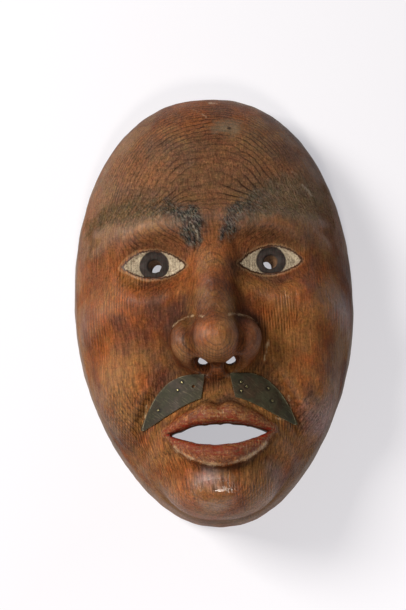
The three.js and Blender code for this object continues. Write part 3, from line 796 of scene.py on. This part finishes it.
    # lips: dull red over brown, in patches and grains, strongest by the opening
    rubbed = add("Math", {0: smear, 1: 22.0, 2: read["fromMouth"]}, operation="MULTIPLY_ADD")
    lipLeft = add("MapRange", {"Value": rubbed, "From Min": 13.0, "From Max": 21.0, "To Min": 1.0,
                               "To Max": 0.1})
    crumbly = add("Math", {0: speck, 1: stroke}, operation="ADD")
    grainy = add("MapRange", {"Value": crumbly, "From Min": 0.92, "From Max": 1.08, "To Min": 1.0,
                              "To Max": 0.05})
    isLip = add("MapRange", {"Value": read["lipEdge"], "From Min": 0.9, "From Max": -0.3})
    for share in (lipLeft, grainy):
        isLip = add("Math", {0: isLip, 1: share}, operation="MULTIPLY")
    onLip = add("MapRange", {"Value": read["lipEdge"], "From Min": 1.5, "From Max": 0.3, "To Max": 0.75})
    onLip = add("Math", {0: onLip, 1: grainy}, operation="MULTIPLY")
    for share, tone in ((onLip, wood["deep"]), (isLip, paint["lips"])):
        colour = add("Mix", {0: share, 6: colour, 7: fromHex(tone)}, 2, data_type="RGBA")

    # lines worn and scratched to pale wood, with dust in them
    broken = add("Math", {0: nick, 1: -3.0, 2: read["wearLine"]}, operation="MULTIPLY_ADD")
    broken = add("Math", {0: smear, 1: 4.0, 2: broken}, operation="MULTIPLY_ADD")
    isLine = add("MapRange", {"Value": broken, "From Min": 1.3, "From Max": 0.1})
    lineShare = add("MapRange", {"Value": onLip, "To Min": 0.72, "To Max": 0.9})
    isLine = add("Math", {0: isLine, 1: lineShare}, operation="MULTIPLY", use_clamp=True)
    lineTone = fromHex(paint["dust"])
    for share, tone in ((onLip, wood["worn"]), (isBrow, paint["browRubbed"])):
        lineTone = add("Mix", {0: share, 6: lineTone, 7: fromHex(tone)}, 2, data_type="RGBA")
    colour = add("Mix", {0: isLine, 6: colour, 7: lineTone}, 2, data_type="RGBA")

    # a mended knot on the forehead: grey filler with a small dark hole whose shade is painted in
    squashed = add("VectorMath", {0: place, 1: (1.0, 1.3, 0.0)}, operation="MULTIPLY")
    knotAt = (wood["knot"][0], 1.3 * wood["knot"][1], 0.0)
    fromKnot = add("VectorMath", {0: squashed, 1: knotAt}, "Value", operation="DISTANCE")
    roundKnot = add("Math", {0: smear, 1: 24.0, 2: fromKnot}, operation="MULTIPLY_ADD")
    roundKnot = add("Math", {0: speck, 1: 14.0, 2: roundKnot}, operation="MULTIPLY_ADD")
    knotPitShade = add("Math", {0: speck, 1: 3.0, 2: fromKnot}, operation="MULTIPLY_ADD")
    colour = layOver(add, colour, [(roundKnot, 30.0, 21.0, 0.62, paint["filler"]),
                                   (knotPitShade, 3.2, 2.2, 0.85, wood["grimeAndShade"])])

    # eyes: chalky white, dirty and flecked; a slate ring round the pierced pupil; painted shade as a thin
    # dark line round all
    shaky = add("Math", {0: nick, 1: 2.2, 2: read["eyeEdge"]}, operation="MULTIPLY_ADD")
    isWhite = add("MapRange", {"Value": shaky, "From Min": 1.2, "From Max": 0.7})
    isSpeck = add("MapRange", {"Value": speck, "From Min": 0.44, "From Max": 0.66, "To Max": 0.8})
    chalk, slate = [
        add("Mix", {0: isSpeck, 6: fromHex(plain), 7: fromHex(specked)}, 2, data_type="RGBA")
        for plain, specked in ((paint["eyeWhite"], paint["eyeSpeck"]), (paint["iris"], wood["purple"]))]
    chalk = shadeOver(add, chalk, [(1.0, smear, 0.35, 0.65, 0.8, 1.16)])
    ringEdge = add("Math", {0: speck, 1: 2.0, 2: read["pupilReach"]}, operation="MULTIPLY_ADD")
    isIris = add("MapRange", {"Value": ringEdge, "From Min": eye["iris"] + 1.3,
                              "From Max": eye["iris"] + 0.7})
    chalk = add("Mix", {0: isIris, 6: chalk, 7: slate}, 2, data_type="RGBA")
    chalk = add("Mix", {0: 0.5, 6: chalk, 7: fibreShade}, 2, data_type="RGBA", blend_type="MULTIPLY")
    eyeRimShade = add("Math", {0: shaky, 1: 1.55}, operation="SUBTRACT")
    palerRim = add("Math", {0: mottleC, 1: -5.0, 2: shaky}, operation="MULTIPLY_ADD")
    palerRim, eyeRimShade = [add("Math", {0: value}, operation="ABSOLUTE") for value in (palerRim, eyeRimShade)]
    colour = layOver(add, colour, [(palerRim, 0.8, 0.3, 0.2, paint["dust"]),
                                   (eyeRimShade, 0.7, 0.3, 0.8, paint["eyeRimShade"])])
    colour = add("Mix", {0: isWhite, 6: colour, 7: chalk}, 2, data_type="RGBA")

    # the hollow and the walls of the bores: never stained, darkened by handling
    isInside = add("MapRange", {"Value": read["depth"], "From Min": 1.2, "From Max": 2.4})
    plain = add("Mix", {0: 1.0, 6: fromHex(wood["inside"]), 7: fibreShade}, 2, data_type="RGBA",
                blend_type="MULTIPLY")
    colour = add("Mix", {0: isInside, 6: colour, 7: plain}, 2, data_type="RGBA")

    # shine: low where the wood is rubbed, strongest on the chin; paint is matt
    polish = add("Math", {0: mottleB, 1: 0.6, 2: read["bulge"]}, operation="MULTIPLY_ADD")
    rough, shine = [
        add("MapRange", {"Value": polish, "From Min": 0.3, "From Max": 1.0, "To Min": low, "To Max": high})
        for low, high in (wood["rough"], wood["shine"])]
    fromChin = add("VectorMath", {0: place, 1: wood["chinSpot"]}, "Value", operation="DISTANCE")
    handled = add("MapRange", {"Value": fromChin, "From Min": 15.0, "From Max": 4.0})
    isPaint = add("Math", {0: isWhite, 1: isLip}, operation="MAXIMUM")
    isPaint = add("Math", {0: isPaint, 1: isBrow}, operation="MAXIMUM")
    for where, rougher, shinier in ((handled, -0.24, 1.2), (isLine, -0.2, 0.7), (isPaint, 0.3, -0.2)):
        rough = add("Math", {0: where, 1: rougher, 2: rough}, operation="MULTIPLY_ADD")
        shine = add("Math", {0: where, 1: shinier, 2: shine}, operation="MULTIPLY_ADD",
                    use_clamp=where is isPaint)

    # low relief of rings, fibres and specks, in millimetres, smoother where it is rubbed
    height = add("Math", {0: lateWood, 1: ringShow}, operation="MULTIPLY")
    height = add("Math", {0: height, 1: 0.2}, operation="MULTIPLY")
    combed = add("Math", {0: comb, 1: combShare}, operation="MULTIPLY")
    lipGrain = add("Math", {0: stroke, 1: onLip}, operation="MULTIPLY")
    for pattern, depth in ((combed, 0.3), (streak, 0.25), (speck, 0.4), (fibre, 0.6), (lipGrain, 0.6)):
        height = add("Math", {0: pattern, 1: depth, 2: height}, operation="MULTIPLY_ADD")
    burnished = add("MapRange", {"Value": polish, "From Min": 0.4, "From Max": 1.0, "To Min": 1.0,
                                 "To Max": 0.7})
    burnished = add("Math", {0: handled, 1: -0.5, 2: burnished}, operation="MULTIPLY_ADD")
    bump = add("Bump", {"Height": height, "Strength": burnished, "Distance": millimetre})
    return finishMaterial(material, {"Base Color": colour, "Roughness": rough, "Specular IOR Level": shine,
                                     "Normal": bump})


# Sheet copper, cut with shears and dulled: dark brown-green patina, bare only at the cut edges
copper = {
    "patina": "#2e271a", "green": "#383a29", "brown": "#35251a", "bright": "#94886a", "roundPinsTone": "#16120e",
    "thinning": (0.86, 1.4),    # painted shade on the left plate and painted light on the right one: how bright the patina is on each
    "rough": (0.58, 0.75), "metallic": 0.15,
}


def copperMaterial():
    material, add = newMaterial("patinatedSheetCopper")
    place = placeOnPiece(add)
    across = add("SeparateXYZ", {0: place})
    border, pinReach = [add("Attribute", {}, "Fac", attribute_name=name) for name in ("border", "pinReach")]
    cloud = add("TexNoise", {"Vector": place, "Scale": 1 / 9, "Detail": 4.0, "Roughness": 0.65}, "Fac")
    fine = add("TexNoise", {"Vector": place, "Scale": 0.7, "Detail": 3.0, "Roughness": 0.6}, "Fac")
    colour = layOver(add, fromHex(copper["patina"]), [(cloud, 0.45, 0.65, 0.7, copper["green"]),
                                                      (cloud, 0.48, 0.34, 0.6, copper["brown"])])
    # the left plate darkened and the right one lightened as colour: painted shade and painted light
    colour = shadeOver(add, colour, [(1.0, fine, 0.3, 0.7, 0.75, 1.2),
                                     (1.0, across, -30.0, 30.0, *copper["thinning"])])
    # slanting scratches, darker round the pins, and bare metal along the cut edge
    lying = add("VectorRotate", {"Vector": place, "Angle": 0.7}, rotation_type="Z_AXIS")
    lying = add("VectorMath", {0: lying, 1: (0.15, 2.2, 0.15)}, operation="MULTIPLY")
    scratch = add("TexNoise", {"Vector": lying, "Scale": 1.0, "Detail": 3.0}, "Fac")
    fromEdge = add("Math", {0: fine, 1: 0.8, 2: border}, operation="MULTIPLY_ADD")
    colour = layOver(add, colour, [
        (scratch, 0.6, 0.7, 0.22, copper["bright"]), (pinReach, 1.9, 0.9, 0.75, copper["roundPinsTone"]),
        (fromEdge, 0.85, 0.4, 0.7, copper["bright"])])
    rough = add("MapRange", {"Value": cloud, "From Min": 0.35, "From Max": 0.65,
                             "To Min": copper["rough"][0], "To Max": copper["rough"][1]})
    bump = add("Bump", {"Height": fine, "Strength": 0.5, "Distance": 0.3 * millimetre})
    return finishMaterial(material, {"Base Color": colour, "Roughness": rough,
                                     "Metallic": copper["metallic"],
                                     "Specular IOR Level": 0.3, "Normal": bump})


# Brass pins: heads rubbed bright in the middle, dull round the rim; the bright middle is partly a painted
# highlight
brass = {"bright": "#837a58", "dull": "#332e22", "rough": (0.25, 0.45), "metallic": 0.9}


def pinMaterial():
    material, add = newMaterial("wornBrassPin")
    fine = add("TexNoise", {"Vector": placeOnPiece(add), "Scale": 1.2, "Detail": 2.0}, "Fac")
    rise = add("Attribute", {}, "Fac", attribute_name="rise")
    rubbed = add("Math", {0: fine, 1: 0.6, 2: rise}, operation="MULTIPLY_ADD")
    # lighter towards the top of the head: rubbed brass, and partly a painted highlight
    colour = layOver(add, fromHex(brass["dull"]), [(rubbed, 0.95, 1.2, 1.0, brass["bright"])])
    rough = add("MapRange", {"Value": fine, "From Min": 0.3, "From Max": 0.7,
                             "To Min": brass["rough"][0], "To Max": brass["rough"][1]})
    return finishMaterial(material, {"Base Color": colour, "Roughness": rough,
                                     "Metallic": brass["metallic"]})


def dress(piece, material, node):
    piece.data.materials.clear()
    piece.data.materials.append(material)
    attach(piece, "root")
    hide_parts(node)


dress(mask, woodMaterial(), "carved_mask")
sheetCopper, wornBrass = copperMaterial(), pinMaterial()
for hand, piece in plates.items():
    dress(piece, sheetCopper, "moustache_plate_" + hand)
for name, piece in pins.items():
    dress(piece, wornBrass, "plate_pin_" + name)
print("materials made")

# Room: a pale table top, with a large soft light from the forehead's left and a small one from the chin side.
# The table glows faintly, a little more to the lower right: painted light standing in for light from white
# walls.
room = {
    "floor": "#a9a9ad", "glow": "#f2f1f7", "sky": "#ffffff", "skyLight": 0.12,
    "glowShare": (0.53, 0.62), "glowRise": (0.05, 0.3),     # metres to the lower right
}
bpy.ops.object.select_all(action="DESELECT")
bpy.ops.mesh.primitive_plane_add(size=5, location=(0, 0, -0.0004))
floor = bpy.context.object
floor.name = "paleTable"
material, add = newMaterial("paleMattPaper")
across, up, _ = add("SeparateXYZ", {0: add("TexCoord", {}, "Object")}).node.outputs
toLowerRight = add("Math", {0: across, 1: up}, operation="SUBTRACT")
glow = add("MapRange", {"Value": toLowerRight, "From Min": room["glowRise"][0],
                        "From Max": room["glowRise"][1],
                        "To Min": room["glowShare"][0], "To Max": room["glowShare"][1]})
floor.data.materials.append(finishMaterial(material, {
    "Base Color": fromHex(room["floor"]), "Roughness": 0.9, "Emission Color": fromHex(room["glow"]),
    "Emission Strength": glow}))
world = bpy.data.worlds.new("paleRoom")
world.use_nodes = True
sky = world.node_tree.nodes["Background"]
plug(world.node_tree, sky, {"Color": fromHex(room["sky"]), "Strength": room["skyLight"]})
bpy.context.scene.world = world

lights = {
    "windowLight": {"at": (-0.95, 0.42, 1.08), "size": 0.55, "power": 27, "colour": "#fffaf3"},
    "fillLight": {"at": (0.0, -0.72, 1.2), "size": 0.2, "power": 6.5, "colour": "#fff6ea"},
}
for name, light in lights.items():
    lamp = bpy.data.lights.new(name, "AREA")
    lamp.size, lamp.energy, lamp.color = light["size"], light["power"], fromHex(light["colour"])[:3]
    holder = bpy.data.objects.new(name, lamp)
    holder.location = light["at"]
    way = Vector((0, 0, 0.04)) - Vector(light["at"])
    holder.rotation_euler = way.to_track_quat("-Z", "Y").to_euler()
    bpy.context.scene.collection.objects.link(holder)

# Camera: over the face, a little to the chin, leaning as the picture does
shot = {"aim": (-0.0065, -0.0032, 0.045), "elevation": 80, "distance": 1.2, "lens": 121.2, "lean": 2.3}
camera = bpy.data.objects.new("camera", bpy.data.cameras.new("camera"))
bpy.context.scene.collection.objects.link(camera)
camera.data.sensor_width = 36
camera.data.lens = shot["lens"]
rise = math.radians(shot["elevation"])
back = Vector((0, -math.cos(rise), math.sin(rise)))
camera.location = Vector(shot["aim"]) + back * shot["distance"]
lean = Quaternion((0, 0, 1), math.radians(-shot["lean"]))
camera.rotation_mode = "QUATERNION"
camera.rotation_quaternion = (-back).to_track_quat("-Z", "Y") @ lean
bpy.context.scene.camera = camera
bpy.context.scene.view_settings.view_transform = "Standard"
print("room and camera set")
